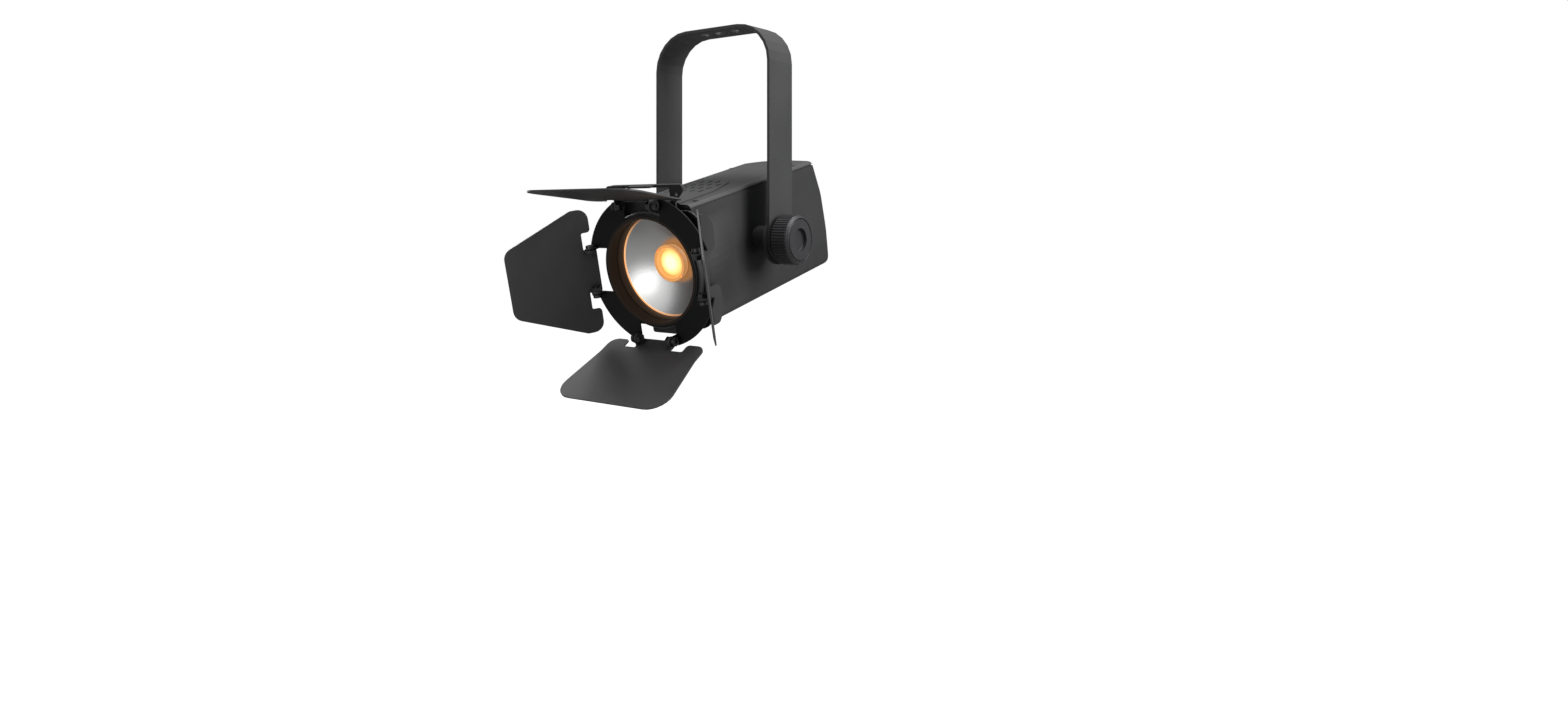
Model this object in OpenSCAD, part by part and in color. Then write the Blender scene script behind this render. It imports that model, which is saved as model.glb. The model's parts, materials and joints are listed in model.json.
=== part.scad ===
// Compact LED theatre spotlight: a tilting lamp head in a hanging yoke, with a turning ring of barn doors.
// Origin: centre of the clamp hole, on top of the yoke. +Z is up, and the light leaves towards -Y.
// The lamp head is drawn in its own frame: X to its side, Y towards its rear, Z up, origin on the tilt axis.

/* [Yoke] */
// Width over the two legs
yoke_w = 124; // [118:1:136]
// Width of the steel strip
strip_w = 36; // [32:1:40]
// Thickness of the steel strip
strip_t = 2.5; // [2:0.5:3]
// Height of the yoke's top above the tilt axis
yoke_h = 187; // [180:1:200]
// Outer radius of the yoke's bends
bend_r = 34; // [28:1:40]
// Diameter of the clamp hole
clamp_d = 13; // [8.5:0.5:14]

/* [Pose] */
// How far the lamp head is tilted down at rest, in degrees
tilt = 13; // [0:1:20]
// How far the side doors stand open from the light's direction, in degrees
side_door_open = 37; // [20:1:60]
// How far the top and bottom doors stand open from the light's direction, in degrees
flared_door_open = 18; // [10:1:40]

/* [Lamp head] */
// Width of the housing
housing_w = 79; // [76:1:82]
// Height of the seam under the top cover
seam_z = 47.5; // [46:0.5:49]
// Height of the top cover's crown
crown_z = 52.6; // [51.8:0.1:53.2]
// Depth of the housing's floor below the tilt axis
floor_z = 51; // [49:0.5:53]
// Housing wall thickness
wall = 2.5; // [2:0.5:3]

/* [Barn doors] */
// Radius of the barn door ring
ring_r = 65; // [63:0.5:66]
// Sheet thickness of the ring and doors
sheet = 1.2; // [1:0.1:1.5]
// Length of the side doors
side_door_l = 72.5; // [60:0.5:76]
// Length of the top and bottom doors
flared_door_l = 76; // [60:0.5:78]

/* [Knobs] */
// Diameter of the tilt knobs
knob_d = 43; // [38:1:44]
// Depth of the tilt knobs
knob_l = 16; // [14:1:20]

/* [Hidden] */

$fn = 48;
eps = 0.01;
gap = 0.15;             // air between parts that only pass each other
run = 0.05;             // radial clearance of a turning fit

axis_z = -yoke_h;
optical_z = -2;         // optical axis, below the tilt axis
half_w = housing_w / 2;
front_y = -90;          // front plane of the housing
collar_r = 49.6;        // outside of the round front
collar_front_y = -103;
spigot_r = collar_r - wall - 0.9;   // the collar's fit inside the housing
bore_r = 46;            // bore of the collar, where the ring's barrel turns
aperture_r = 44.4;      // the opening that the dish shines through
swell_end_y = -14;      // where the round front has eased into the flat sides
swell_half_h = 40;      // how far the swell reaches above and below the optical axis
slot_x = 16.5;          // slots to either side of the clamp hole
pivot_bore_r = 4;       // M8 studs
washer_t = 2;
pivot_boss_r = 12;
shoulder_z = 50.2;      // where the cover's sides turn into its crown
rear_top = [102, 53.2]; // side outline of the rear, as [Y, Z]
rear_knee = [112.7, 17];
rear_belly = [115, -18];
rear_foot = [113, -floor_z];
panel_t = 3;            // rear panel, along Y
plate_t = 3;            // the front collar's plate, along Y
lug_r = 52.6;           // collar screws, from the optical axis
screw_r = 1.5;          // M3 screws
head_r = 2.75;
head_h = 1.8;
grip = 0.02;            // radial clearance of a screw in its thread
controls_z = 31;        // middle of the rear panel's controls
sockets_z = -3.5;       // middle of its sockets
button_r = 3.3;
button_flange_r = 4.3;  // behind the panel
button_z = -8;          // buttons, below the middle of the controls
inlet_x = -19;
data_in_x = 6.5;
data_out_x = 26;
holder_y = -95;         // rear face of the accessory holder's plate
holder_t = 1.5;
holder_half = [52, 49.2];   // half width and half height of its plate
latch_pin_at = [-91.5, 60]; // as [Y, height above the optical axis]
latch_half_w = 41;
latch_window = 27;      // half width of the gap between the latch's two cheeks
latch_top = 71;         // above the optical axis
snap_y = -97.05;        // front face of the snap ring
boss_end_x = yoke_w / 2 - strip_t - washer_t - 0.1;
knob_back_x = yoke_w / 2 + 3.7;
knob_face_x = knob_back_x + knob_l;

ring_back_y = -104.1;   // rear face of the barn door ring
ring_front_y = ring_back_y - sheet;
hinge_y = -112;         // hinge pins, in front of the ring
hinge_r = 56.5;         // hinge pins, from the optical axis
hinge_screw_r = 2;      // M4
ear_u = 19;             // inner face of the ring's hinge ears
door_offset = 4.5;      // door sheet, outwards from its hinge pin
tab_u = ear_u - 0.1;    // half width of a door's hinge tab

// ---------- general helpers ----------

function flat2(p) = [p[0], p[1]];
function unit(v) = v / norm(v);
// The arc that rounds corner `at` between its neighbours; at[2] is its radius
function fillet(prev, at, next) =
    let (p = flat2(at), u = unit(flat2(prev) - p), v = unit(flat2(next) - p), r = at[2])
    r == 0 ? [p] :
    let (half = acos(u * v) / 2, centre = p + unit(u + v) * r / sin(half))
    let (a = p + u * r / tan(half) - centre, b = p + v * r / tan(half) - centre)
    let (start = atan2(a[1], a[0]), turn = atan2(a[0] * b[1] - a[1] * b[0], a * b))
    let (steps = max(4, ceil(abs(turn) / 15)))
    [for (i = [0 : steps]) centre + r * [cos(start + turn * i / steps), sin(start + turn * i / steps)]];
// A closed outline from corners [x, y, radius]
function rounded(corners) =
    let (n = len(corners))
    [for (i = [0 : n - 1]) each fillet(corners[(i + n - 1) % n], corners[i], corners[(i + 1) % n])];
// The left half of a symmetric outline, in reverse order
function mirrored(corners) =
    [for (i = [len(corners) - 1 : -1 : 0]) [-corners[i][0], corners[i][1], corners[i][2]]];

// Extrudes a [Y, Z] outline along X
module along_x(x0, x1) {
    translate([x0, 0, 0]) rotate([90, 0, 90]) linear_extrude(x1 - x0) children();
}
// Extrudes an [X, Z] outline along Y
module along_y(y0, y1) {
    translate([0, y1, 0]) rotate([90, 0, 0]) linear_extrude(y1 - y0) children();
}
module rod_x(r, x0, x1) {
    translate([x0, 0, 0]) rotate([0, 90, 0]) cylinder(r = r, h = x1 - x0);
}
module rod_y(r, y0, y1) {
    translate([0, y0, 0]) rotate([-90, 0, 0]) cylinder(r = r, h = y1 - y0);
}
module tube_y(r_in, r_out, y0, y1) {
    difference() {
        rod_y(r_out, y0, y1);
        rod_y(r_in, y0 - 1, y1 + 1);
    }
}
// Turns a [radius, Y] outline about the Y axis
module spun_y() {
    rotate([-90, 0, 0]) rotate_extrude($fn = 96) children();
}
// Turns a [radius, X] outline about the X axis
module spun_x() {
    rotate([90, 0, 90]) rotate_extrude($fn = 96) children();
}
module block(x, y, z) {
    translate([x[0], y[0], z[0]]) cube([x[1] - x[0], y[1] - y[0], z[1] - z[0]]);
}
module both_sides() {
    children();
    mirror([1, 0, 0]) children();
}

// ---------- frames ----------

// The lamp head's own frame
module in_head() {
    translate([0, 0, axis_z]) rotate([tilt, 0, 0]) children();
}
// The same, with the optical axis as its Y axis
module on_axis() {
    in_head() translate([0, 0, optical_z]) children();
}
// The point of the rear face at height z, with +Y out of the face
module on_rear(z) {
    line = z > rear_knee[1] ? [rear_knee, rear_top]
        : z > rear_belly[1] ? [rear_belly, rear_knee] : [rear_foot, rear_belly];
    rise = line[1][1] - line[0][1];
    run_back = line[0][0] - line[1][0];
    translate([0, line[0][0] - run_back * (z - line[0][1]) / rise, z])
        rotate([atan2(run_back, rise), 0, 0]) children();
}
// Side k of the barn door ring: 0 top, 1 right, 2 bottom, 3 left. +Z is outwards and X along the hinge.
module at_side(k) {
    on_axis() rotate([0, 90 * k, 0]) children();
}
// A door's frame at its hinge pin: +Y out along the door, -Z away from the light
module at_door(k, open) {
    at_side(k) translate([0, hinge_y, hinge_r]) rotate([180 - open, 0, 0]) children();
}

// ---------- yoke ----------

module yoke_outline(inset) {
    w = yoke_w / 2 - inset;
    polygon(rounded([
        [-w, axis_z - inset, 0], [w, axis_z - inset, 0],
        [w, -inset, bend_r - inset], [-w, -inset, bend_r - inset]
    ]));
}
module yoke() {
    color([0.13, 0.13, 0.14]) difference() {
        union() {
            along_y(-strip_w / 2, strip_w / 2) difference() {
                yoke_outline(0);
                yoke_outline(strip_t);
            }
            both_sides() translate([0, 0, axis_z]) rod_x(strip_w / 2, yoke_w / 2 - strip_t, yoke_w / 2);
        }
        translate([0, 0, -strip_t - 1]) cylinder(d = clamp_d, h = strip_t + 2);
        for (x = [-slot_x, slot_x]) translate([x, 0, -strip_t - 1]) yoke_slot();
        both_sides() translate([0, 0, axis_z]) rod_x(pivot_bore_r + grip, 40, 80);
    }
}
// A slot for a locating pin or a second bolt, running across the strip
module yoke_slot() {
    slot_w = 8;
    slot_l = 15;
    linear_extrude(strip_t + 2) {
        square([slot_w, slot_l - slot_w], center = true);
        for (y = [-1, 1]) translate([0, y * (slot_l - slot_w) / 2]) circle(d = slot_w);
    }
}
module friction_washers() {
    color([0.1, 0.1, 0.1]) both_sides() translate([0, 0, axis_z]) difference() {
        rod_x(21.5, boss_end_x + 0.1, boss_end_x + 0.1 + washer_t);
        rod_x(pivot_bore_r + grip, 40, 80);
    }
}
module knob_washers() {
    color([0.6, 0.6, 0.62]) both_sides() translate([0, 0, axis_z]) difference() {
        rod_x(11, yoke_w / 2, yoke_w / 2 + 1.5);
        rod_x(pivot_bore_r + grip, 40, 80);
    }
}

// ---------- knobs ----------

module knob() {
    ridges = 54;
    face_recess = 3.6;
    r = knob_d / 2;
    hub_x = yoke_w / 2 + 1.6;
    knurl_end_x = knob_face_x - 3;
    difference() {
        union() {
            along_x(knob_back_x, knurl_end_x) polygon([
                for (i = [0 : ridges - 1], step = [0 : 3])
                    let (a = 360 * (i + step / 4) / ridges)
                    (step < 2 ? r : r - 0.6) * [cos(a), sin(a)]
            ]);
            rod_x(10, hub_x, knob_back_x + 1);
            spun_x() polygon([
                [0, knurl_end_x - 1], [r - 0.7, knurl_end_x - 1], [r - 0.7, knurl_end_x + 0.6],
                [r - 2.4, knob_face_x - 0.3], [r - 2.8, knob_face_x], [r - 3.2, knob_face_x - 0.8],
                [r - 3.8, knob_face_x - 0.8], [r - 4.2, knob_face_x], [0, knob_face_x]
            ]);
        }
        rod_x(pivot_bore_r, hub_x - 1, knob_face_x - 6);
        spun_x() polygon([
            [0, knob_face_x - face_recess], [9.4, knob_face_x - face_recess],
            [10, knob_face_x - face_recess + 0.6], [10, knob_face_x + 1], [0, knob_face_x + 1]
        ]);
    }
}
module stud() {
    rod_x(pivot_bore_r - run, 41, knob_face_x - 8);
}
module knob_right() { color([0.15, 0.15, 0.16]) translate([0, 0, axis_z]) knob(); }
module knob_left() { color([0.15, 0.15, 0.16]) translate([0, 0, axis_z]) mirror([1, 0, 0]) knob(); }
module knob_right_stud() { color([0.7, 0.7, 0.72]) translate([0, 0, axis_z]) stud(); }
module knob_left_stud() { color([0.7, 0.7, 0.72]) translate([0, 0, axis_z]) mirror([1, 0, 0]) stud(); }

// ---------- housing ----------

// Side and front outlines of the housing, each drawn inwards by inset
function side_outline(inset) = rounded([
    [front_y, inset - floor_z, 0], [rear_foot[0] - inset, inset - floor_z, 9 - inset],
    [rear_belly[0] - inset, rear_belly[1], 100 - inset], [rear_knee[0] - inset, rear_knee[1], 50 - inset],
    [rear_top[0] - inset, rear_top[1] - inset, 5 - inset], [front_y, rear_top[1] - inset, 0]
]);
function front_outline(inset) =
    let (rise = crown_z - shoulder_z)
    rounded([
    [inset - half_w, inset - floor_z, 4 - inset], [half_w - inset, inset - floor_z, 4 - inset],
    [half_w - inset, shoulder_z - inset, 4 - inset],
        [0, shoulder_z + 1.52 * rise - inset, 0.45 * half_w * half_w / rise],
    [inset - half_w, shoulder_z - inset, 4 - inset]
]);
module box_shape(inset) {
    intersection() {
        along_x(-half_w, half_w) polygon(side_outline(inset));
        along_y(front_y, rear_belly[0]) polygon(front_outline(inset));
    }
}
// The sides swell forwards into the round front. The swell starts as the circle, turns within a few
// millimetres into a bulge that runs out smoothly above and below, and fades to nothing at swell_end_y.
function ease(t) = 1 - t * t * (3 - 2 * t);
function swell_x(inset, t, z) =
    let (side = half_w - inset, r = collar_r - inset)
    let (circle_out = sqrt(max(r * r - z * z, side * side)) - side)
    let (bulge_out = (r - side) * pow(1 - pow(z / swell_half_h, 2), 2))
    let (blend = min(1, t * 6))
    side + (circle_out * (1 - blend) + bulge_out * blend) * ease(t);
module swell(inset) {
    rows = 18;
    columns = 20;
    function at(i, j) = i * (columns + 1) + j;
    function height(j) = -swell_half_h * cos(180 * j / columns);
    skin = [for (i = [0 : rows], j = [0 : columns])
        [swell_x(inset, i / rows, height(j)), front_y + (swell_end_y - front_y) * i / rows, height(j)]];
    count = len(skin);
    root = [for (p = skin) [half_w - inset - 1, p[1], p[2]]];
    quads = [for (i = [0 : rows - 1], j = [0 : columns - 1])
        [at(i, j), at(i, j + 1), at(i + 1, j + 1), at(i + 1, j)]];
    rim = concat(
        [for (j = [0 : columns - 1]) [at(0, j), at(0, j + 1)]],
        [for (i = [0 : rows - 1]) [at(i, columns), at(i + 1, columns)]],
        [for (j = [columns : -1 : 1]) [at(rows, j), at(rows, j - 1)]],
        [for (i = [rows : -1 : 1]) [at(i, 0), at(i - 1, 0)]]
    );
    both_sides() translate([0, 0, optical_z]) polyhedron(concat(skin, root), concat(
        quads,
        [for (q = quads) [for (k = [3 : -1 : 0]) count + q[k]]],
        [for (e = rim) [e[1], e[0], count + e[0], count + e[1]]]
    ));
}
module lug_places() {
    for (a = [50, 130, 230, 310]) translate([lug_r * cos(a), 0, lug_r * sin(a)]) children();
}
module rear_screw_places() {
    for (x = [-33.9, 33.9], z = [-34, 40]) on_rear(z) translate([x, 0, 0]) children();
}
module cover_screw_places() {
    for (x = [-33.6, 33.6], y = [-76, 76]) translate([x, y, seam_z]) children();
}
module shell() {
    difference() {
        union() {
            box_shape(0);
            swell(0);
        }
        box_shape(wall);
        swell(wall);
    }
}
module lower_housing() {
    color([0.14, 0.14, 0.15]) in_head() difference() {
        union() {
            difference() {
                shell();
                block([wall - half_w, half_w - wall], [85, 130], [wall - floor_z, 60]);
            }
            both_sides() {
                rod_x(pivot_boss_r, half_w - 1, boss_end_x);
                rod_x(11, 31, half_w);
                block([half_w - wall - 3, half_w - wall + eps], [-20, 90], [-38.5, -36]);
                block([32, 45], [-66.8, -60], [-8, 4]);
            }
            translate([0, 0, optical_z]) lug_places() rod_y(3.6, front_y + 1, -78);
            cover_screw_places() translate([0, 0, -17]) cylinder(r = 3.6, h = 17);
            intersection() {
                rear_screw_places() rod_y(3.5, -22, 5);
                along_x(-half_w, half_w) polygon(side_outline(panel_t + 0.05));
            }
        }
        block([-60, 60], [-120, 130], [seam_z, 60]);
        block([-60, 60], [-120, front_y + plate_t + 0.1], [-60, 60]);
        difference() {
            block([-60, 60], [-120, 130], [seam_z - 1, 60]);
            box_shape(0.8);
        }
        translate([0, 0, optical_z]) lug_places() rod_y(screw_r + grip, front_y - 1, -79);
        both_sides() rod_x(7, 30, boss_end_x + 1);
        rear_screw_places() rod_y(screw_r + grip, -18, 5);
        cover_screw_places() translate([0, 0, -15]) cylinder(r = screw_r + grip, h = 16);
        heat_sink_screw_places() rod_y(screw_r + grip, -1, 5);
        floor_vents();
    }
}
module floor_vents() {
    for (x = [-26 : 13 : 26], y = [-60 : 16 : -12])
        block([x - 1.5, x + 1.5], [y, y + 11], [-floor_z - 1, wall - floor_z + 1]);
}
module pivot_inserts() {
    color([0.75, 0.62, 0.32]) in_head() both_sides() difference() {
        rod_x(7 - 0.02, 31, boss_end_x);
        rod_x(pivot_bore_r, 30, 80);
    }
}

module top_cover() {
    color([0.14, 0.14, 0.15]) in_head() difference() {
        union() {
            intersection() {
                difference() {
                    box_shape(0);
                    difference() {
                        box_shape(wall);
                        block([-60, 60], [front_y - 1, front_y + wall], [-60, 60]);
                    }
                }
                block([-60, 60], [-120, 130], [seam_z + gap, 60]);
            }
            both_sides()
                block([half_w - wall - 2.6, half_w - wall - 1.1], [-66, 66], [seam_z - 4, shoulder_z - 1]);
            vent_pad();
            intersection() {
                cover_screw_places() translate([0, 0, gap]) cylinder(r = 4.2, h = 4);
                box_shape(1);
            }
        }
        cover_screw_places() {
            cylinder(r = screw_r + 0.1, h = 8);
            translate([0, 0, 1.5]) cylinder(r = head_r + 0.3, h = 8);
        }
        cover_vents();
    }
}
// The raised pad that carries the slots: an arch that narrows towards the rear
module vent_pad() {
    pad_h = 0.9;
    half = [[28.3, front_y, 0], [28.3, -42, 30], [20.5, -8, 12], [9, 9, 12]];
    intersection() {
        along_y(front_y, 20) difference() {
            polygon(front_outline(-pad_h));
            polygon(front_outline(wall));
        }
        translate([0, 0, seam_z + 1]) linear_extrude(20) polygon(rounded(concat(half, mirrored(half))));
    }
}
// Rows of slots that narrow with the pad
module cover_vents() {
    for (row = [0 : 3], x = row < 3 ? [-18 : 9 : 18] : [-9 : 9 : 9])
        translate([x, -46 + 13 * row, seam_z + 1]) linear_extrude(20) {
            square([2.6, 5.4], center = true);
            for (y = [-2.7, 2.7]) translate([0, y]) circle(1.3);
        }
}
module cover_screws() {
    color([0.3, 0.3, 0.3]) in_head() cover_screw_places()
        translate([0, 0, 1.55]) rotate([-90, 0, 0]) screw(12);
}
// An M3 screw with its shank along +Y and its head at -Y
module screw(l) {
    difference() {
        union() {
            rod_y(screw_r, -eps, l);
            rod_y(head_r, -head_h, 0);
        }
        rotate([-90, 0, 0]) translate([0, 0, -head_h - 1]) cylinder(r = 1.3, h = 2.1, $fn = 6);
    }
}

// ---------- front ----------

module front_collar() {
    color([0.15, 0.15, 0.16]) in_head() difference() {
        union() {
            along_y(front_y, front_y + plate_t) {
                intersection() {
                    polygon(front_outline(0));
                    translate([-60, -60]) square([120, 60 + seam_z - gap]);
                }
                translate([0, optical_z]) circle(collar_r);
            }
            translate([0, 0, optical_z]) {
                spun_y() polygon([
                    [40, front_y + plate_t], [collar_r, front_y + plate_t], [collar_r, collar_front_y + 0.8],
                    [collar_r - 0.8, collar_front_y], [40, collar_front_y]
                ]);
                rod_y(spigot_r, front_y, -82);
                lug_places() rod_y(3.2, holder_y, front_y + 1);
            }
        }
        translate([0, 0, optical_z]) {
            rod_y(aperture_r, -110, -70);
            rod_y(bore_r, -110, -93);
            rod_y(bore_r + 1.2, snap_y - gap, -93);
            lug_places() rod_y(screw_r + 0.1, -100, -80);
        }
    }
}
module collar_screws() {
    color([0.3, 0.3, 0.3]) on_axis() lug_places() translate([0, holder_y - holder_t - 0.05, 0]) screw(15);
}
// A sheet part behind the ring, with side arms and the latch's ears
module accessory_holder() {
    w = holder_half[0];
    h = holder_half[1];
    ear_x = latch_window - 1.8;
    side_arm = rounded([
        [holder_y - 1, 14, 0], [-81.5, 14, 6], [-80, 36, 9], [-88, 45.5, 6], [holder_y - 1, 45.5, 0]
    ]);
    color([0.13, 0.13, 0.14]) on_axis() difference() {
        union() {
            along_y(holder_y - holder_t, holder_y) {
                polygon(rounded([[-w, -h, 14], [w, -h, 14], [w, h, 14], [-w, h, 14]]));
                polygon(rounded([[-13, -55.6, 2], [13, -55.6, 2], [13, -40, 0], [-13, -40, 0]]));
                polygon(rounded([[-30, 40, 0], [30, 40, 0], [30, 57, 3], [-30, 57, 3]]));
            }
            both_sides() {
                along_x(w - holder_t, w) {
                    polygon(side_arm);
                    mirror([0, 1]) polygon(side_arm);
                }
                along_x(ear_x, ear_x + holder_t) polygon(rounded([
                    [holder_y - 1, 54.5, 0], [-88, 56, 3], [-88, 64, 3], [holder_y - 1, 64, 1]
                ]));
            }
        }
        rod_y(collar_r + gap, -110, -93.5);
        lug_places() rod_y(screw_r + 0.1, -110, -90);
        at_latch() rod_x(screw_r + grip, -30, 30);
    }
}
module at_latch() {
    translate([0, latch_pin_at[0], latch_pin_at[1]]) children();
}
// Two rivets, one through each ear
module latch_pins() {
    color([0.7, 0.7, 0.72]) on_axis() at_latch() both_sides() {
        rod_x(screw_r, latch_window - 2.6, latch_window + 2.3);
        rod_x(2.6, latch_window - 2.9, latch_window - 1.95);
    }
}
// Holds a colour frame in behind the ring, and folds back to let it out: two cheeks, joined by a narrow
// bar whose tongue reaches forwards over the frame's edge
module frame_latch() {
    sheet_y = -98.5;
    frame_r = ring_r - 8.5;
    bar_h = 2.2;
    color([0.16, 0.16, 0.17]) on_axis() difference() {
        union() {
            along_y(sheet_y, sheet_y + 1.5) difference() {
                polygon(rounded([
                    [-latch_half_w, 66, 4], [-30, 55, 3], [30, 55, 3], [latch_half_w, 66, 4],
                    [latch_half_w - 1, latch_top, 3], [1 - latch_half_w, latch_top, 3]
                ]));
                circle(frame_r);
                translate([-latch_window, 40]) square([2 * latch_window, latch_top - bar_h - 40]);
            }
            block([-36, 36], [sheet_y, sheet_y + 5], [latch_top - 1.5, latch_top]);
            block([-12, 12], [ring_back_y + 0.2, sheet_y + 1], [latch_top - 1.5, latch_top]);
            both_sides() {
                block([latch_window, latch_window + 1.5], [sheet_y, -90.2], [57.5, 63.5]);
                at_latch() rod_x(3, latch_window, latch_window + 1.5);
            }
        }
        at_latch() rod_x(screw_r + run, -35, 35);
        both_sides() translate([33.4, 0, 63]) rod_y(1.5, -100, -96);
    }
}

// ---------- light engine ----------

dish_in_r = 16.1;
dish_out_r = 43;
function dish_y(r) = -73 - 12 * (r * r - dish_in_r * dish_in_r) / (pow(dish_out_r, 2) - pow(dish_in_r, 2));
module reflector() {
    radii = [for (i = [0 : 12]) dish_in_r + (dish_out_r - dish_in_r) * i / 12];
    color([0.8, 0.8, 0.8]) on_axis() spun_y() polygon([
        for (r = radii) [r, dish_y(r)],
        [dish_out_r, -85.4], [44.2, -85.4], [44.2, -84.2],
        for (i = [12 : -1 : 0]) [radii[i], dish_y(radii[i]) + 1]
    ]);
}
module led_board() {
    color([0.9, 0.9, 0.88]) on_axis() rod_y(14.5, -75.3, -73.7);
}
// A clear cup with a tapered mouth, two recesses for its screws and two small keys at its edge
module led_retainer() {
    color([0.85, 0.85, 0.85]) on_axis() difference() {
        spun_y() polygon([
            [11, -75.35], [11, -76.4], [13.6, -79.2], [15.8, -79.2], [16.3, -78.7], [16.3, -77.4],
            [15.75, -77], [15.75, -73.2], [14.6, -73.2], [14.6, -75.35]
        ]);
        for (a = [45, 225]) rotate([0, a, 0]) translate([14.4, 0, 0]) rod_y(1.9, -80, -77.6);
        for (a = [153, 333]) rotate([0, a, 0]) translate([16.9, 0, 0]) rod_y(1.2, -80, -77.6);
    }
}
module led_dome() {
    color([1, 0.85, 0.4]) on_axis() spun_y() polygon([
        [0, -75.35], [10.9, -75.35], [10.9, -75.9], [9, -76.4], [6, -76.7], [3, -76.85], [0, -76.9]
    ]);
}
module heat_sink() {
    color([0.6, 0.6, 0.62]) on_axis() difference() {
        union() {
            rod_y(14.4, -73.6, -71);
            rod_y(30, -71.8, -67);
            block([-38, 38], [-71.8, -67], [-5, 5]);
            intersection() {
                rod_y(30, -68, -25);
                for (x = [-26 : 6.5 : 26]) block([x - 0.8, x + 0.8], [-68, -25], [-40, 40]);
            }
        }
        translate([0, 0, -optical_z]) heat_sink_screw_places() rod_y(screw_r + 0.1, -10, 5);
    }
}
module heat_sink_screw_places() {
    for (x = [-35, 35]) translate([x, -66.8, optical_z]) children();
}
module heat_sink_screws() {
    color([0.6, 0.6, 0.6]) in_head() heat_sink_screw_places() translate([0, -5.05, 0]) screw(9);
}
module chassis_plate() {
    color([0.7, 0.7, 0.7]) in_head() block([-36.8, 36.8], [-20, 84], [-35.9, -34.4]);
}
module power_supply() {
    color([0.2, 0.4, 0.25]) in_head() {
        block([-28, 28], [14, 80], [-31.5, -30]);
        for (x = [-25, 25], y = [17, 77]) translate([x, y, -34.3]) cylinder(r = 2, h = 3);
        block([-11, 11], [34, 58], [-30.1, -9]);
        block([-26, -16], [60, 76], [-30.1, -14]);
        for (x = [16, 22]) translate([x, 26, -30.1]) cylinder(r = 2.8, h = 14);
        translate([19, 48, -30.1]) cylinder(r = 6, h = 22);
    }
}
module driver_board() {
    color([0.2, 0.4, 0.25]) in_head() {
        block([-27, 27], [-17, 11], [-31.5, -30]);
        for (x = [-24, 24], y = [-14, 8]) translate([x, y, -34.3]) cylinder(r = 2, h = 3);
        translate([-14, -3, -30.1]) cylinder(r = 7, h = 8);
        block([0, 20], [-10, 5], [-30.1, -25]);
    }
}

// ---------- rear ----------

module on_controls() {
    in_head() on_rear(controls_z) children();
}
module on_sockets(x) {
    in_head() on_rear(sockets_z) translate([x, 0, 0]) children();
}
module rear_panel() {
    color([0.14, 0.14, 0.15]) difference() {
        union() {
            in_head() intersection() {
                along_x(wall - half_w + gap, half_w - wall - gap) difference() {
                    polygon(side_outline(0));
                    polygon(side_outline(panel_t));
                }
                block([-60, 60], [85, 130], [wall - floor_z + gap, seam_z - gap]);
            }
            on_controls() for (x = [-24, 24], z = [-13, 15]) translate([x, 0, z]) rod_y(2.2, -6.3, -2);
        }
        on_controls() {
            block([-17, 17], [-6, 2], [1.5, 14.5]);
            block([-18.2, 18.2], [-6, -panel_t], [0.4, 15.6]);
            for (i = [0 : 3]) translate([button_x(i), 0, button_z]) {
                rod_y(button_r + run, -6, 2);
                rod_y(button_flange_r + 0.2, -6, -panel_t);
            }
        }
        on_sockets(inlet_x) block([-13.1, 13.1], [-8, 5], [-9.3, 9.3]);
        for (x = [data_in_x, data_out_x]) on_sockets(x) rod_y(8.6, -8, 5);
        in_head() rear_screw_places() rod_y(screw_r + 0.1, -8, 5);
    }
}
module rear_screws() {
    color([0.3, 0.3, 0.3]) in_head() rear_screw_places()
        translate([0, 0.05, 0]) rotate([180, 0, 0]) screw(14);
}
module display_window() {
    color([0.1, 0.12, 0.2]) on_controls() {
        block([-16.9, 16.9], [-3.5, -0.4], [1.6, 14.4]);
        block([-18, 18], [-3.9, -3.05], [0.6, 15.4]);
    }
}
module control_board() {
    color([0.2, 0.4, 0.25]) on_controls() {
        block([-27, 27], [-8, -6.4], [-16, 17]);
        block([-17, 17], [-6.5, -4.1], [2, 14]);
        for (i = [0 : 3])
            block([button_x(i) - 3, button_x(i) + 3], [-6.5, -5.2], [button_z - 3, button_z + 3]);
    }
}
function button_x(i) = -18 + 12 * i;
module button(i) {
    color([0.2, 0.2, 0.21]) on_controls() translate([button_x(i), 0, button_z]) {
        rod_y(button_r, -3.6, 0.8);
        rod_y(button_r - 0.4, 0.7, 1.3);
        rod_y(button_flange_r, -4.2, -3.1);
    }
}
module menu_button() { button(0); }
module down_button() { button(1); }
module up_button() { button(2); }
module enter_button() { button(3); }

blade_places = [[-7, -2], [7, -2], [0, 2]];
module mains_inlet() {
    color([0.1, 0.1, 0.1]) on_sockets(inlet_x) difference() {
        union() {
            block([-14, 14], [0.1, 2], [-11, 11]);
            block([-13, 13], [-17, 0.2], [-9.2, 9.2]);
        }
        block([-12.1, 12.1], [-14.5, 5], [-8.2, 8.2]);
        for (p = blade_places) block([p[0] - 1.02, p[0] + 1.02], [-18, -14], [p[1] - 2.02, p[1] + 2.02]);
    }
}
module inlet_contacts() {
    color([0.75, 0.65, 0.35]) on_sockets(inlet_x)
        for (p = blade_places) block([p[0] - 1, p[0] + 1], [-20, -5.5], [p[1] - 2, p[1] + 2]);
}
module pin_places() {
    for (a = [90 : 120 : 330]) translate([3.4 * cos(a), 0, 3.4 * sin(a)]) children();
}
module socket_body() {
    rod_y(9.5, 0.1, 2);
    rod_y(8.5, -16, 0.2);
}
module data_in_socket() {
    color([0.12, 0.12, 0.12]) on_sockets(data_in_x) difference() {
        socket_body();
        rod_y(7.4, -12, 3);
        pin_places() rod_y(1.1 + grip, -18, -10);
    }
}
module data_out_socket() {
    color([0.12, 0.12, 0.12]) on_sockets(data_out_x) difference() {
        socket_body();
        tube_y(7, 7.8, -10, 3);
        pin_places() rod_y(1.25 + grip, -18, 3);
    }
}
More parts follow.
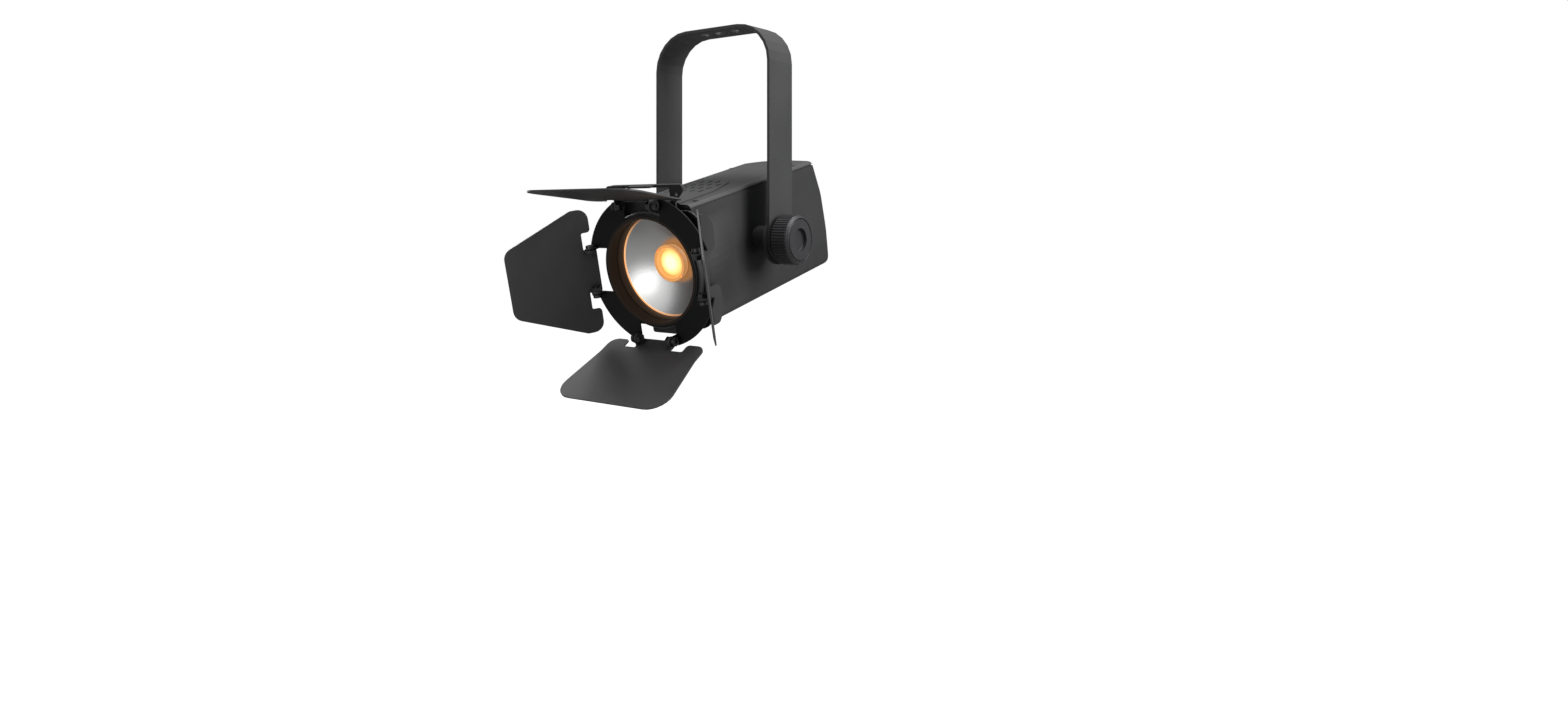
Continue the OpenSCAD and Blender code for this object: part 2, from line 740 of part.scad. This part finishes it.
module socket_contacts() {
    color([0.75, 0.65, 0.35]) {
        on_sockets(data_in_x) pin_places() rod_y(1.1, -19, -3.5);
        on_sockets(data_out_x) pin_places() tube_y(0.85, 1.25, -19, 0.5);
    }
}

// ---------- barn door ring ----------

module barn_ring() {
    barrel_r = bore_r - run;
    flange_r = 47.6;
    color([0.12, 0.12, 0.13]) difference() {
        union() {
            difference() {
                on_axis() rod_y(ring_r, ring_front_y, ring_back_y);
                for (k = [0 : 3]) at_side(k) block([-ear_u, ear_u], [-110, -100], [bore_r - 6, 80]);
            }
            on_axis() {
                rod_y(flange_r, ring_front_y, ring_back_y);
                rod_y(barrel_r, ring_front_y, -95.2);
            }
            for (k = [0 : 3]) at_side(k) both_sides() along_x(ear_u, ear_u + sheet) ring_ear();
        }
        on_axis() {
            rod_y(aperture_r - 0.2, -130, -90);
            tube_y(barrel_r - 0.35, 50, snap_y - 0.02, snap_y + 1.02);
        }
        for (k = [0 : 3]) at_side(k) translate([0, hinge_y, hinge_r]) rod_x(hinge_screw_r + grip, -30, 30);
    }
}
ear_r = 4.4;
module ring_ear() {
    translate([hinge_y, hinge_r]) circle(ear_r);
    translate([hinge_y, hinge_r - ear_r]) square([ring_back_y - hinge_y, 2 * ear_r]);
}
module snap_ring() {
    color([0.5, 0.5, 0.52]) on_axis() difference() {
        tube_y(bore_r - run - 0.35 + grip, bore_r + 0.9, snap_y, snap_y + 1);
        block([-3, 3], [snap_y - 1, snap_y + 2], [-50, 0]);
    }
}
// Eight hinge screws: children are drawn with +X away from the middle of the side
module hinge_places() {
    for (k = [0 : 3]) at_side(k) both_sides() translate([ear_u, hinge_y, hinge_r]) children();
}
module hinge_screws() {
    color([0.6, 0.6, 0.62]) hinge_places() difference() {
        union() {
            rod_x(hinge_screw_r, -5.8, sheet + 0.1);
            rod_x(3.7, sheet + 0.03, sheet + 2.6);
        }
        rod_x(1.7, sheet + 1.2, sheet + 3, $fn = 6);
    }
}
module hinge_washers() {
    color([0.85, 0.85, 0.8]) hinge_places() difference() {
        rod_x(4.1, -2, -1.4);
        rod_x(hinge_screw_r + grip, -3, 0);
    }
}
module hinge_nuts() {
    color([0.6, 0.6, 0.62]) hinge_places() difference() {
        rod_x(4.04, -5.2, -2.03, $fn = 6);
        rod_x(hinge_screw_r + grip, -6, 0);
    }
}

// ---------- doors ----------

module door(half) {
    difference() {
        union() {
            translate([0, 0, -door_offset - sheet]) linear_extrude(sheet)
                polygon(rounded(concat(half, mirrored(half))));
            both_sides() along_x(tab_u - sheet, tab_u) {
                circle(4.2);
                translate([-4.2, -door_offset - eps]) square([8.4, door_offset + eps]);
            }
        }
        rod_x(hinge_screw_r + run, -30, 30);
    }
}
// Right halves of the doors' outlines, from the hinge outwards
function side_half() =
    let (l = side_door_l)
    [
        [tab_u, -6, 1.5], [tab_u, 5.2, 0], [33.5, 5.2, 1.5], [33.5, -2.8, 3],
        [54, -2.8, 9], [54, 12, 6], [28.8, l, 9.5]
    ];
function flared_half() =
    let (l = flared_door_l)
    [
        [tab_u, -6, 1.5], [tab_u, 6.5, 0], [31, 6.5, 1.5], [31, -2.8, 3],
        [49.8, -2.8, 8.5], [50, 16, 22], [59, l, 17]
    ];

module door_top() { color([0.12, 0.12, 0.13]) at_door(0, flared_door_open) door(flared_half()); }
module door_bottom() { color([0.12, 0.12, 0.13]) at_door(2, flared_door_open) door(flared_half()); }
module door_right() { color([0.12, 0.12, 0.13]) at_door(1, side_door_open) door(side_half()); }
module door_left() { color([0.12, 0.12, 0.13]) at_door(3, side_door_open) door(side_half()); }

yoke();
friction_washers();
knob_washers();
knob_left();
knob_left_stud();
knob_right();
knob_right_stud();
lower_housing();
top_cover();
front_collar();
accessory_holder();
rear_panel();
reflector();
led_board();
led_retainer();
led_dome();
heat_sink();
chassis_plate();
power_supply();
driver_board();
control_board();
display_window();
pivot_inserts();
cover_screws();
rear_screws();
collar_screws();
heat_sink_screws();
mains_inlet();
inlet_contacts();
data_in_socket();
data_out_socket();
socket_contacts();
frame_latch();
latch_pins();
menu_button();
down_button();
up_button();
enter_button();
barn_ring();
snap_ring();
hinge_screws();
hinge_nuts();
hinge_washers();
door_top();
door_bottom();
door_left();
door_right();
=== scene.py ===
"""Looks for the compact LED theatre spotlight: its materials, the studio and the camera."""
import json
import math

import bpy
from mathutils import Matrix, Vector


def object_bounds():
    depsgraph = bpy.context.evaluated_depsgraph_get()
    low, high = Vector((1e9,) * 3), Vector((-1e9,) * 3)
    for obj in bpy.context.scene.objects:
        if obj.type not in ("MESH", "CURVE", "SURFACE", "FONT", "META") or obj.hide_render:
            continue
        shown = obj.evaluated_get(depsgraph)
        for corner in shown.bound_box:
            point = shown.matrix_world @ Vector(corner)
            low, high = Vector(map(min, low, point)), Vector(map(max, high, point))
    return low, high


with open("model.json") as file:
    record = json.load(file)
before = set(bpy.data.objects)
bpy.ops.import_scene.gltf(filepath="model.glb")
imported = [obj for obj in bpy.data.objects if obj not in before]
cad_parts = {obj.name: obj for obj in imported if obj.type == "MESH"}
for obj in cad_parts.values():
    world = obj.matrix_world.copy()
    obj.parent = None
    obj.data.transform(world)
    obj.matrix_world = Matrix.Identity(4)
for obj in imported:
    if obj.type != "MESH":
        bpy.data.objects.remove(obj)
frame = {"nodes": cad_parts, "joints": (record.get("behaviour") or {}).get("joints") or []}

CAD_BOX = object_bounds()
NODES = frame["nodes"]
JOINTS = {joint["name"]: joint for joint in frame["joints"]}

PIVOT = Vector(JOINTS["head_tilt"]["pos_m"])
RING_CENTRE = Vector(JOINTS["barn_door_turn"]["pos_m"])
LIGHT_AXIS = Vector(JOINTS["barn_door_turn"]["axis"]).normalized()

# Radii from the light's axis, in metres
CORE_RADIUS = 0.0045        # the emitter's white heart
DOME_RADIUS = 0.0108        # the emitter's edge
CUP_INSIDE = 0.0105         # the clear cup round the emitter, inside and outside
CUP_RADIUS = 0.0158
DISH_RADIUS = 0.0426        # where the dish's flat rim starts
TUBE_RADIUS = 0.0462        # inside of the round front

# Painted light on one side of the dish's rim, standing in for the emitter's light falling on it: along
# this direction, none at the first value, full at the second
PAINTED_RIM_LIGHT_SIDE = (-22.0, 0.0, -10.0)
PAINTED_RIM_LIGHT_FADE = (2.0, 2.9)

# Rings turned into the dish as a bump, and rings in the cup's painted glow, in radians per metre of
# radius
DISH_RINGS = 7000.0
CUP_RINGS = 2600.0

# Colours of painted light: warm white inside the tube, orange on the dish's rim, amber in the cup round
# the emitter
WARM_WHITE = (1.0, 0.6, 0.36)
ORANGE = (1.0, 0.45, 0.16)
AMBER = (1.0, 0.42, 0.12)
# Colour of the painted shade in slots, grooves and corners
SHADE_BLACK = (0.001, 0.001, 0.001)
# Strength of the painted light on the inside of the round front and of the ring
PAINTED_TUBE_LIGHT = 0.01

# Studio: places and lengths in metres, from the head's pivot, and lamp powers in watts
SOFTBOXES = [   # name, place, width, power
    ("key_right", (1.55, 0.25, 0.6), 0.9, 29),
    ("top", (0.35, 0.1, 1.6), 1.2, 42),
    ("fill_left", (-1.5, 0.25, 0.5), 1.0, 20),
    ("front", (0.15, -1.7, -0.12), 0.8, 3.4),
    ("front_wash", (-0.2, -1.9, 0.1), 2.0, 9),
]
SURROUND_COLOUR = (0.93, 0.96, 1.0, 1)
SURROUND_STRENGTH = 0.13
FLOOR_DROP = 0.35           # below the lowest point of the object
FLOOR_HALF = 6.0
CAMERA_PLACE = (0.535, -0.7466, 0.0183)
CAMERA_AZIMUTH = math.radians(39.2)
CAMERA_LENS = 23.4
CAMERA_SHIFT = (0.080, -0.0885)


# ---------- materials ----------

class Nodes:
    """A short way to build one material's node tree."""

    def __init__(self, name):
        self.material = bpy.data.materials.new(name)
        self.material.use_nodes = True
        self.tree = self.material.node_tree
        self.shader = self.tree.nodes["Principled BSDF"]
        self.position = self.add("ShaderNodeTexCoord").outputs["Object"]

    def add(self, kind, inputs=None, **settings):
        node = self.tree.nodes.new(kind)
        for key, value in settings.items():
            setattr(node, key, value)
        for key, value in (inputs or {}).items():
            self.set(node.inputs[key], value)
        return node

    def set(self, socket, value):
        if isinstance(value, bpy.types.NodeSocket):
            self.tree.links.new(value, socket)
        elif hasattr(value, "__len__") and len(value) == 3 and socket.type == "RGBA":
            socket.default_value = (*value, 1)
        else:
            socket.default_value = value

    def noise(self, scale, detail=3.0, stretch=(1, 1, 1), rough=0.55):
        place = self.add("ShaderNodeMapping", {"Vector": self.position, "Scale": stretch})
        return self.add("ShaderNodeTexNoise", {
            "Vector": place.outputs[0], "Scale": scale, "Detail": detail, "Roughness": rough,
        }).outputs["Fac"]

    def remap(self, value, low, high, to_low, to_high):
        return self.add("ShaderNodeMapRange", {
            "Value": value, "From Min": low, "From Max": high, "To Min": to_low, "To Max": to_high,
        }).outputs[0]

    def maths(self, operation, a, b=0.0):
        return self.add("ShaderNodeMath", {0: a, 1: b}, operation=operation).outputs[0]

    def mix(self, factor, a, b):
        """Blends colour a into colour b. Inputs 6 and 7 and output 2 are the node's colour sockets."""
        return self.add("ShaderNodeMix", {0: factor, 6: a, 7: b}, data_type="RGBA").outputs[2]

    def bump(self, height, strength, distance):
        return self.add("ShaderNodeBump", {
            "Height": height, "Strength": strength, "Distance": distance,
        }).outputs[0]

    def ripples(self, value, rate):
        """A sine wave of value."""
        angle = self.maths("MULTIPLY", value, rate)
        return self.add("ShaderNodeMath", {0: angle}, operation="SINE").outputs[0]

    def edges(self, radius):
        """1 along sharp edges and 0 on flat faces."""
        bevel = self.add("ShaderNodeBevel", {"Radius": radius}, samples=4).outputs[0]
        normal = self.add("ShaderNodeNewGeometry").outputs["Normal"]
        dot = self.add("ShaderNodeVectorMath", {0: bevel, 1: normal}, operation="DOT_PRODUCT")
        return self.remap(dot.outputs["Value"], 0.995, 0.86, 0.0, 1.0)

    def shade(self, colour, distance):
        """Painted shade: darkens a colour in slots, grooves and corners, as far as distance from them.
        """
        open_air = self.add("ShaderNodeAmbientOcclusion", {"Distance": distance}, samples=8)
        painted_shade_amount = self.remap(open_air.outputs["AO"], 0.25, 0.95, 0.75, 0.0)
        return self.mix(painted_shade_amount, colour, SHADE_BLACK)

    def finish(self, **values):
        for key, value in values.items():
            self.set(self.shader.inputs[key.replace("_", " ")], value)
        return self.material


def scaled(colour, factor, lift=0.0):
    """A colour made darker or lighter."""
    return tuple(min(1.0, c * factor + lift) for c in colour)


def axis_distance(n):
    """Distance of a point of the object from the light's axis."""
    offset = n.add("ShaderNodeVectorMath", {0: n.position, 1: tuple(RING_CENTRE)},
                   operation="SUBTRACT").outputs[0]
    cross = n.add("ShaderNodeVectorMath", {0: offset, 1: tuple(LIGHT_AXIS)},
                  operation="CROSS_PRODUCT").outputs[0]
    return n.add("ShaderNodeVectorMath", {0: cross}, operation="LENGTH").outputs["Value"]


def powder_coat(name, colour, rough=0.5, grain=900.0, peel=0.12, gloss=0.42, shade=0.005, glow=0.0):
    """Satin black powder coat: a fine orange peel, slight clouding, and edges rubbed a little lighter.

    Painted shade darkens it within shade metres of a corner, and glow is painted light: a warm emission
    on the inside of the tube that stands in for the emitter's light there.
    """
    n = Nodes(name)
    cloud = n.noise(14.0, detail=4.0)
    peel_noise = n.noise(grain, detail=2.0)
    fine = n.noise(grain * 3.1, detail=1.0)
    rubbing = n.remap(n.noise(160.0, detail=5.0), 0.42, 0.62, 0.15, 1.0)
    edge = n.maths("MULTIPLY", n.edges(0.0006), rubbing)
    base = n.mix(n.remap(cloud, 0.35, 0.65, 0.0, 1.0), scaled(colour, 0.82), colour)
    base = n.mix(n.maths("MULTIPLY", edge, 0.35), base, scaled(colour, 1.9, 0.02))
    height = n.maths("ADD", peel_noise, n.maths("MULTIPLY", fine, 0.35))
    roughness = n.maths("ADD", n.remap(cloud, 0.3, 0.7, rough - 0.04, rough + 0.05),
                        n.maths("MULTIPLY", edge, -0.08))
    # Painted light: a warm emission of strength glow inside the tube, standing in for the emitter's
    # light there
    inside = n.remap(axis_distance(n), TUBE_RADIUS, TUBE_RADIUS + 0.0002, glow, 0.0)
    # Painted shade near corners darkens the base colour
    return n.finish(Base_Color=n.shade(base, shade), Roughness=roughness,
                    Normal=n.bump(height, peel, 0.00025), Specular_IOR_Level=gloss,
                    Emission_Color=WARM_WHITE, Emission_Strength=inside)


def moulded(name, colour, rough, grain=1600.0, depth=0.18):
    """Moulded plastic with an eroded, fine grained surface, and painted shade in its grooves."""
    n = Nodes(name)
    grain_noise = n.noise(grain, detail=4.0, rough=0.7)
    dust = n.remap(n.noise(45.0, detail=6.0), 0.5, 0.75, 0.0, 0.35)
    edge = n.maths("MULTIPLY", n.edges(0.0004), 0.3)
    base = n.mix(dust, colour, scaled(colour, 1.35, 0.004))
    base = n.mix(edge, base, scaled(colour, 2.1, 0.012))
    return n.finish(Base_Color=n.shade(base, 0.003),
                    Roughness=n.remap(grain_noise, 0.3, 0.7, rough - 0.06, rough + 0.08),
                    Normal=n.bump(grain_noise, depth, 0.0002), Specular_IOR_Level=0.4)


def metal(name, colour, rough, scale=260.0, stretch=(1, 1, 1), scratch=0.12):
    """Bare metal with fine machining marks and a few darker patches."""
    n = Nodes(name)
    lines = n.noise(scale, detail=6.0, stretch=stretch, rough=0.65)
    patches = n.remap(n.noise(70.0, detail=5.0), 0.5, 0.72, 0.0, 0.25)
    base = n.mix(patches, colour, scaled(colour, 0.55))
    return n.finish(Base_Color=base, Metallic=1.0,
                    Roughness=n.remap(lines, 0.25, 0.75, rough - 0.07, rough + 0.1),
                    Normal=n.bump(lines, scratch, 0.0002))


def circuit_board(name):
    """Green solder mask with paler tracks."""
    mask, track = (0.012, 0.075, 0.03), (0.03, 0.16, 0.06)
    n = Nodes(name)
    cells = n.add("ShaderNodeTexVoronoi", {"Vector": n.position, "Scale": 260.0}, distance="MANHATTAN",
                  feature="DISTANCE_TO_EDGE").outputs["Distance"]
    tracks = n.remap(cells, 0.02, 0.05, 1.0, 0.0)
    return n.finish(Base_Color=n.mix(tracks, mask, track), Roughness=0.38,
                    Normal=n.bump(tracks, 0.2, 0.0001))


def spun_aluminium(name):
    """The satin dish: faint rings round the light's axis, a fine dimpled skin, and painted warm light on
    one side of its rim.
    """
    clean, dull = (0.74, 0.74, 0.73), (0.62, 0.62, 0.61)
    n = Nodes(name)
    radius = axis_distance(n)
    rings = n.ripples(radius, DISH_RINGS)
    dimples = n.add("ShaderNodeTexVoronoi", {"Vector": n.position, "Scale": 620.0}).outputs["Distance"]
    height = n.maths("ADD", n.maths("MULTIPLY", rings, 0.05), dimples)
    smear = n.noise(24.0, detail=2.0)
    # Painted light: orange emission on the rim's flange, only on the side along the direction below
    side = n.add("ShaderNodeVectorMath", {0: n.position, 1: PAINTED_RIM_LIGHT_SIDE}, operation="DOT_PRODUCT")
    lit_side = n.remap(side.outputs["Value"], *PAINTED_RIM_LIGHT_FADE, 0.0, 1.1)
    rim = n.maths("MULTIPLY", n.remap(radius, DISH_RADIUS, DISH_RADIUS + 0.0005, 0.0, 1.0), lit_side)
    return n.finish(Base_Color=n.mix(n.remap(smear, 0.4, 0.7, 0.0, 0.4), clean, dull),
                    Metallic=1.0, Roughness=n.remap(smear, 0.3, 0.7, 0.3, 0.36),
                    Normal=n.bump(height, 0.14, 0.0003),
                    Emission_Color=ORANGE, Emission_Strength=rim)


def phosphor(name):
    """The lit emitter, white hot in the middle and amber at its edge."""
    middle, rim = (1.0, 0.86, 0.47), (1.0, 0.52, 0.14)
    n = Nodes(name)
    outward = n.remap(axis_distance(n), CORE_RADIUS, DOME_RADIUS, 0.0, 1.0)
    speckle = n.remap(n.noise(700.0, detail=4.0), 0.3, 0.7, 0.8, 1.15)
    strength = n.maths("MULTIPLY", n.remap(outward, 0.0, 1.0, 1.5, 0.95), speckle)
    return n.finish(Base_Color=(0.9, 0.6, 0.2), Roughness=0.35,
                    Emission_Color=n.mix(outward, middle, rim), Emission_Strength=strength)


def lit_ring(name):
    """The clear rim round the emitter, with painted light: an amber emission, fading outwards in rings,
    that stands in for the emitter's glow carried through it.
    """
    n = Nodes(name)
    radius = axis_distance(n)
    # Painted light: amber emission, strongest next to the emitter, banded by rings
    glow = n.remap(radius, CUP_INSIDE, CUP_RADIUS, 0.95, 0.42)
    strength = n.maths("MULTIPLY", glow, n.remap(n.ripples(radius, CUP_RINGS), -1.0, 1.0, 0.75, 1.15))
    return n.finish(Base_Color=(0.75, 0.36, 0.12), Roughness=0.18, Coat_Weight=0.5, Coat_Roughness=0.08,
                    Emission_Color=AMBER, Emission_Strength=strength)


def display_glass(name):
    """A dark window over the display."""
    n = Nodes(name)
    smudge = n.noise(90.0, detail=5.0)
    return n.finish(Base_Color=(0.006, 0.008, 0.012), Coat_Weight=0.6, Coat_Roughness=0.05,
                    Roughness=n.remap(smudge, 0.35, 0.7, 0.06, 0.2))


def fibre(name, colour):
    """Pressed fibre or nylon, dull with a fuzzy grain."""
    n = Nodes(name)
    grain = n.noise(1400.0, detail=5.0, rough=0.8)
    return n.finish(Base_Color=n.mix(grain, scaled(colour, 0.8), colour), Roughness=0.72,
                    Normal=n.bump(grain, 0.25, 0.0002))


MATERIALS = {
    # One black powder coat in lighter and darker copies, set to how lit each part looks: the lighter
    # doors and cover are painted light, the far darker, less glossy ring is painted shade
    "coat": powder_coat("powder_coat", (0.042, 0.042, 0.043)),
    "door": powder_coat("door_coat", (0.056, 0.056, 0.057), rough=0.55),
    # The housing's painted shade reaches 3 cm from corners: a soft painted shadow of the yoke and knob
    # beside the pivot
    "housing": powder_coat("housing_coat", (0.030, 0.030, 0.031), grain=700.0, peel=0.16, shade=0.03),
    "collar": powder_coat("collar_coat", (0.026, 0.026, 0.027), grain=700.0, peel=0.16, glow=PAINTED_TUBE_LIGHT),
    "cover": powder_coat("cover_coat", (0.046, 0.046, 0.047), grain=700.0, peel=0.16),
    "ring": powder_coat("ring_coat", (0.007, 0.007, 0.0075), rough=0.55, gloss=0.2, glow=PAINTED_TUBE_LIGHT),
    "knob": moulded("knob_plastic", (0.026, 0.026, 0.028), 0.5),
    "socket": moulded("socket_plastic", (0.018, 0.018, 0.019), 0.42, grain=1100.0, depth=0.1),
    "button": moulded("button_rubber", (0.05, 0.05, 0.053), 0.6),
    "pad": fibre("friction_fibre", (0.02, 0.02, 0.02)),
    "dark_nylon": fibre("dark_nylon", (0.05, 0.05, 0.05)),
    "steel": metal("bright_steel", (0.56, 0.56, 0.57), 0.3),
    "black_screw": metal("black_oxide_steel", (0.06, 0.06, 0.065), 0.42, scratch=0.2),
    "black_nut": metal("black_nickel", (0.1, 0.1, 0.105), 0.3),
    "zinc": metal("zinc_plate", (0.42, 0.42, 0.43), 0.38, scale=140.0),
    "aluminium": metal("mill_aluminium", (0.6, 0.6, 0.61), 0.42, stretch=(1, 8, 1)),
    "brass": metal("brass", (0.72, 0.52, 0.2), 0.3),
    "dish": spun_aluminium("satin_dish"),
    "phosphor": phosphor("lit_phosphor"),
    "lit_ring": lit_ring("lit_rim"),
    "board": circuit_board("circuit_board"),
    "white_board": fibre("white_board", (0.8, 0.8, 0.78)),
    "glass": display_glass("display_glass"),
}

NODE_MATERIALS = {
    "coat": ["yoke"],
    "door": ["door_top", "door_bottom", "door_left", "door_right"],
    "housing": ["lower_housing", "rear_panel", "accessory_holder", "frame_latch"],
    "collar": ["front_collar"],
    "cover": ["top_cover"],
    "ring": ["barn_ring"],
    "knob": ["knob_left", "knob_right"],
    "socket": ["mains_inlet", "data_in_socket", "data_out_socket"],
    "button": ["menu_button", "down_button", "up_button", "enter_button"],
    "pad": ["friction_washers"],
    "dark_nylon": ["hinge_washers"],
    "steel": ["knob_left_stud", "knob_right_stud", "latch_pins", "heat_sink_screws"],
    "black_screw": ["cover_screws", "rear_screws", "collar_screws"],
    "black_nut": ["hinge_screws", "hinge_nuts"],
    "zinc": ["knob_washers", "snap_ring"],
    "aluminium": ["heat_sink", "chassis_plate"],
    "brass": ["pivot_inserts", "inlet_contacts", "socket_contacts"],
    "dish": ["reflector"],
    "phosphor": ["led_dome"],
    "lit_ring": ["led_retainer"],
    "board": ["power_supply", "driver_board", "control_board"],
    "white_board": ["led_board"],
    "glass": ["display_window"],
}


def paint(name, material):
    """Gives a CAD node one material in every slot it has."""
    slots = NODES[name].material_slots
    if not slots:
        NODES[name].data.materials.append(material)
    for each in slots:
        each.material = material


for key, names in NODE_MATERIALS.items():
    for node_name in names:
        paint(node_name, MATERIALS[key])


# ---------- studio ----------

def make_world():
    """White to the camera, and a soft dim surround for the light that falls on the object."""
    world = bpy.data.worlds.new("studio")
    bpy.context.scene.world = world
    world.use_nodes = True
    tree = world.node_tree
    tree.nodes.clear()
    seen = tree.nodes.new("ShaderNodeBackground")
    seen.inputs["Color"].default_value = (1, 1, 1, 1)
    lit = tree.nodes.new("ShaderNodeBackground")
    lit.inputs["Color"].default_value = SURROUND_COLOUR
    lit.inputs["Strength"].default_value = SURROUND_STRENGTH
    path = tree.nodes.new("ShaderNodeLightPath")
    mix = tree.nodes.new("ShaderNodeMixShader")
    out = tree.nodes.new("ShaderNodeOutputWorld")
    tree.links.new(path.outputs["Is Camera Ray"], mix.inputs[0])
    tree.links.new(lit.outputs[0], mix.inputs[1])
    tree.links.new(seen.outputs[0], mix.inputs[2])
    tree.links.new(mix.outputs[0], out.inputs[0])


def make_floor():
    """A plain pale floor well below the hanging object. It looks lit, but only to the camera."""
    height = CAD_BOX[0][2] - FLOOR_DROP
    mesh = bpy.data.meshes.new("floor")
    corners = [(x * FLOOR_HALF, y * FLOOR_HALF, height) for x, y in ((-1, -1), (1, -1), (1, 1), (-1, 1))]
    mesh.from_pydata(corners, [], [(0, 1, 2, 3)])
    floor = bpy.data.objects.new("floor", mesh)
    bpy.context.scene.collection.objects.link(floor)
    n = Nodes("pale_floor")
    seen = n.add("ShaderNodeLightPath").outputs["Is Camera Ray"]
    n.finish(Base_Color=(0.2, 0.2, 0.2), Roughness=0.9, Emission_Color=(1.0, 1.0, 1.0),
             Emission_Strength=seen)
    floor.data.materials.append(n.material)


def make_softbox(name, place, width, power):
    """A square area light, turned towards the head's pivot."""
    light = bpy.data.lights.new(name, "AREA")
    light.shape = "SQUARE"
    light.size = width
    light.energy = power
    lamp = bpy.data.objects.new(name, light)
    lamp.location = PIVOT + Vector(place)
    lamp.rotation_euler = (PIVOT - lamp.location).to_track_quat("-Z", "Y").to_euler()
    bpy.context.scene.collection.objects.link(lamp)


def make_camera():
    """A level view from the front right."""
    camera = bpy.data.cameras.new("camera")
    camera.sensor_width = 36.0
    camera.lens = CAMERA_LENS
    camera.shift_x, camera.shift_y = CAMERA_SHIFT
    camera.clip_start = 0.01
    rig = bpy.data.objects.new("camera", camera)
    rig.location = PIVOT + Vector(CAMERA_PLACE)
    rig.rotation_euler = (math.radians(90), 0, CAMERA_AZIMUTH)
    bpy.context.scene.collection.objects.link(rig)
    bpy.context.scene.camera = rig


make_world()
make_floor()
for softbox in SOFTBOXES:
    make_softbox(*softbox)
make_camera()
bpy.context.scene.view_settings.view_transform = "Standard"
